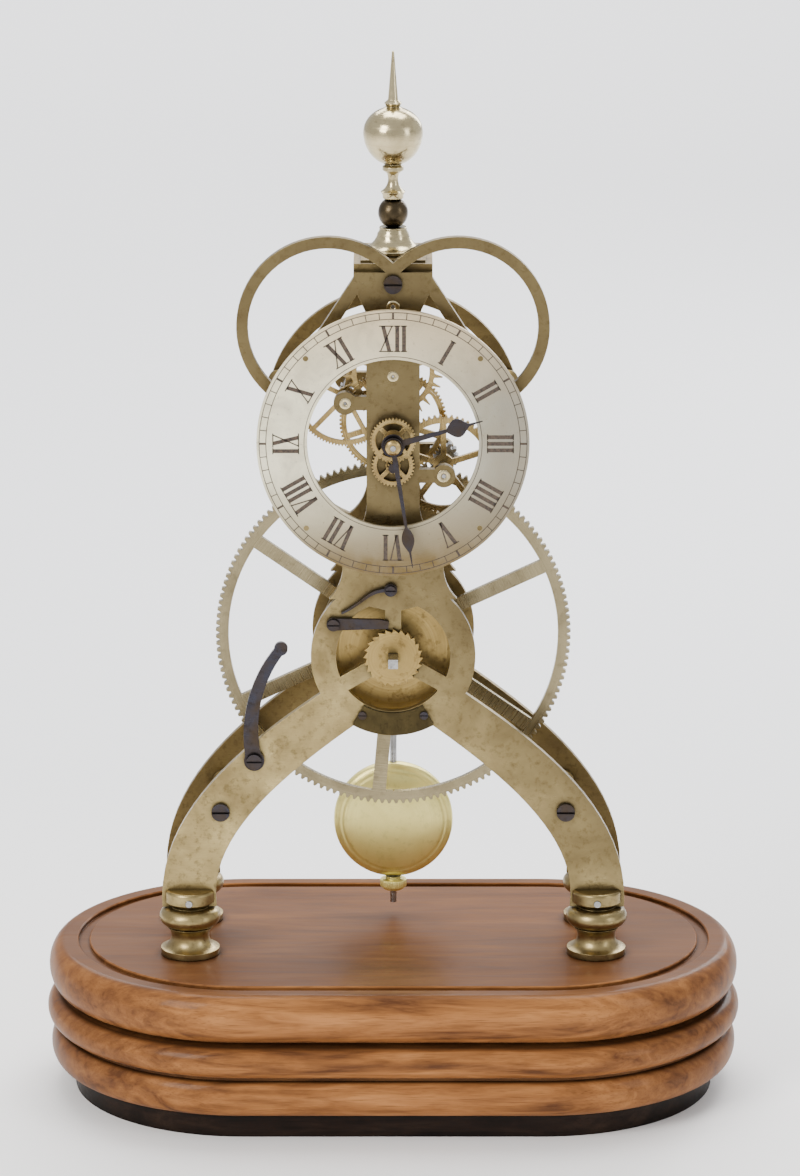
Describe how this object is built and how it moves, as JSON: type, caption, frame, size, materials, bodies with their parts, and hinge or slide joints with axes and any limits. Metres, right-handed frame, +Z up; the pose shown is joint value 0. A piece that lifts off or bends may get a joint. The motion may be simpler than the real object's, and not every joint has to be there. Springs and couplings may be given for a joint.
{
  "type": "skeleton clock",
  "caption": "Skeleton clock with pierced brass plates, going-barrel train, anchor escapement and half-seconds pendulum on an oval moulded wooden base.",
  "frame": {"origin": "middle of the base's underside", "axes": "+Z up, +X to the right as the dial is read, -Y towards the viewer of the dial"},
  "size_m": [0.31, 0.178, 0.4668],
  "materials": {
    "mahogany": "french polished",
    "ebonised_wood": "satin black",
    "aged_brass": "aged, lightly tarnished",
    "wheel_brass": "lacquered, straight grained",
    "polished_brass": "polished",
    "dark_bronze": "dark patinated",
    "silvered_brass": "silvered, aged",
    "steel": "bright steel",
    "blued_steel": "blued"
  },
  "bodies": {
    "frame": {"base_board": "mahogany", "base_plinth": "ebonised_wood", "frame_feet": "aged_brass", "foot_bolts": "steel", "foot_pins": "steel", "front_plate": "aged_brass", "rear_plate": "aged_brass", "pillars": "aged_brass", "pillar_screws": "blued_steel", "top_cap": "aged_brass", "finial_stud": "steel", "finial_base": "aged_brass", "finial_knop": "dark_bronze", "finial_spire": "aged_brass", "nameplate": "dark_bronze", "nameplate_screws": "blued_steel", "chapter_ring": "silvered_brass", "dial_posts": "aged_brass", "click_screw": "blued_steel", "click_spring": "blued_steel", "minute_stud": "blued_steel", "suspension_cock": "aged_brass", "cock_screws": "blued_steel", "stop_lever_screw": "blued_steel"},
    "barrel": {"barrel_drum": "wheel_brass", "barrel_cover": "wheel_brass", "great_wheel": "wheel_brass", "mainspring": "steel"},
    "winding_arbor": {"barrel_arbor": "steel", "ratchet_wheel": "wheel_brass"},
    "click": {"click": "blued_steel"},
    "intermediate": {"intermediate_wheel": "wheel_brass", "intermediate_arbor": "steel"},
    "centre": {"centre_wheel": "wheel_brass", "centre_arbor": "steel"},
    "third": {"third_wheel": "wheel_brass", "third_arbor": "steel"},
    "escape": {"escape_wheel": "wheel_brass", "escape_arbor": "steel"},
    "pallets": {"pallet_anchor": "steel", "pallet_arbor": "steel", "crutch": "steel"},
    "minute_work": {"cannon_pinion": "steel", "minute_hand": "blued_steel", "hand_collet": "wheel_brass"},
    "minute_wheel": {"minute_wheel": "wheel_brass"},
    "hour_work": {"hour_wheel": "wheel_brass", "hour_hand": "blued_steel"},
    "pendulum": {"suspension_spring": "polished_brass", "pendulum_rod": "steel"},
    "bob": {"pendulum_bob": "polished_brass"},
    "rating_nut": {"rating_nut": "polished_brass"},
    "stop_lever": {"stop_lever": "blued_steel"}
  },
  "joints": [
    {"name": "escape_turn", "type": "hinge", "parent": "frame", "child": "escape", "pos_m": [0, 0, 0.3294], "axis": [0, 1, 0], "continuous": true},
    {"name": "third_turn", "type": "hinge", "parent": "frame", "child": "third", "pos_m": [-0.02067, 0, 0.31736], "axis": [0, 1, 0], "continuous": true},
    {"name": "centre_turn", "type": "hinge", "parent": "frame", "child": "centre", "pos_m": [0, 0, 0.3024], "axis": [0, 1, 0], "continuous": true},
    {"name": "intermediate_turn", "type": "hinge", "parent": "frame", "child": "intermediate", "pos_m": [0.02199, 0, 0.28507], "axis": [0, 1, 0], "continuous": true},
    {"name": "barrel_turn", "type": "hinge", "parent": "frame", "child": "barrel", "pos_m": [0, 0, 0.204], "axis": [0, 1, 0], "continuous": true},
    {"name": "minute_hand_turn", "type": "hinge", "parent": "frame", "child": "minute_work", "pos_m": [0, -0.044, 0.3024], "axis": [0, 1, 0], "continuous": true},
    {"name": "minute_wheel_turn", "type": "hinge", "parent": "frame", "child": "minute_wheel", "pos_m": [0, -0.028, 0.2904], "axis": [0, 1, 0], "continuous": true},
    {"name": "hour_hand_turn", "type": "hinge", "parent": "frame", "child": "hour_work", "pos_m": [0, -0.041, 0.3024], "axis": [0, 1, 0], "continuous": true},
    {"name": "winding_turn", "type": "hinge", "parent": "frame", "child": "winding_arbor", "pos_m": [0, -0.03, 0.204], "axis": [0, 1, 0], "continuous": true},
    {"name": "click_lift", "type": "hinge", "parent": "frame", "child": "click", "pos_m": [-0.026, -0.0275, 0.219], "axis": [0, 1, 0], "range_deg": [-6, 0], "stiffness_Nm_per_rad": 0.002, "springref_deg": 5.73},
    {"name": "pendulum_swing", "type": "hinge", "parent": "frame", "child": "pendulum", "pos_m": [0, 0.033, 0.35995], "axis": [0, 1, 0], "range_deg": [-3, 3]},
    {"name": "pallet_rock", "type": "hinge", "parent": "frame", "child": "pallets", "pos_m": [0, 0, 0.35995], "axis": [0, 1, 0], "range_deg": [-3, 3]},
    {"name": "bob_slide", "type": "slide", "parent": "pendulum", "child": "bob", "axis": [0, 0, 1], "range_m": [-0.003, 0.003]},
    {"name": "rating_nut_turn", "type": "hinge", "parent": "bob", "child": "rating_nut", "pos_m": [0, 0.033, 0.08145], "axis": [0, 0, 1], "range_deg": [-1800, 1800]},
    {"name": "stop_lever_swing", "type": "hinge", "parent": "frame", "child": "stop_lever", "pos_m": [-0.061, -0.0275, 0.157], "axis": [0, 1, 0], "range_deg": [-15, 15]}
  ],
  "couplings": [
    {"joint": "third_turn", "follows": "escape_turn", "ratio": -0.083333},
    {"joint": "centre_turn", "follows": "escape_turn", "ratio": 0.0083333},
    {"joint": "intermediate_turn", "follows": "escape_turn", "ratio": -0.0024691},
    {"joint": "barrel_turn", "follows": "escape_turn", "ratio": 0.00018993},
    {"joint": "minute_wheel_turn", "follows": "minute_hand_turn", "ratio": -0.33333},
    {"joint": "hour_hand_turn", "follows": "minute_hand_turn", "ratio": 0.083333},
    {"joint": "pallet_rock", "follows": "pendulum_swing", "ratio": 1},
    {"joint": "rating_nut_turn", "follows": "bob_slide", "rad_per_m": 10472}
  ]
}
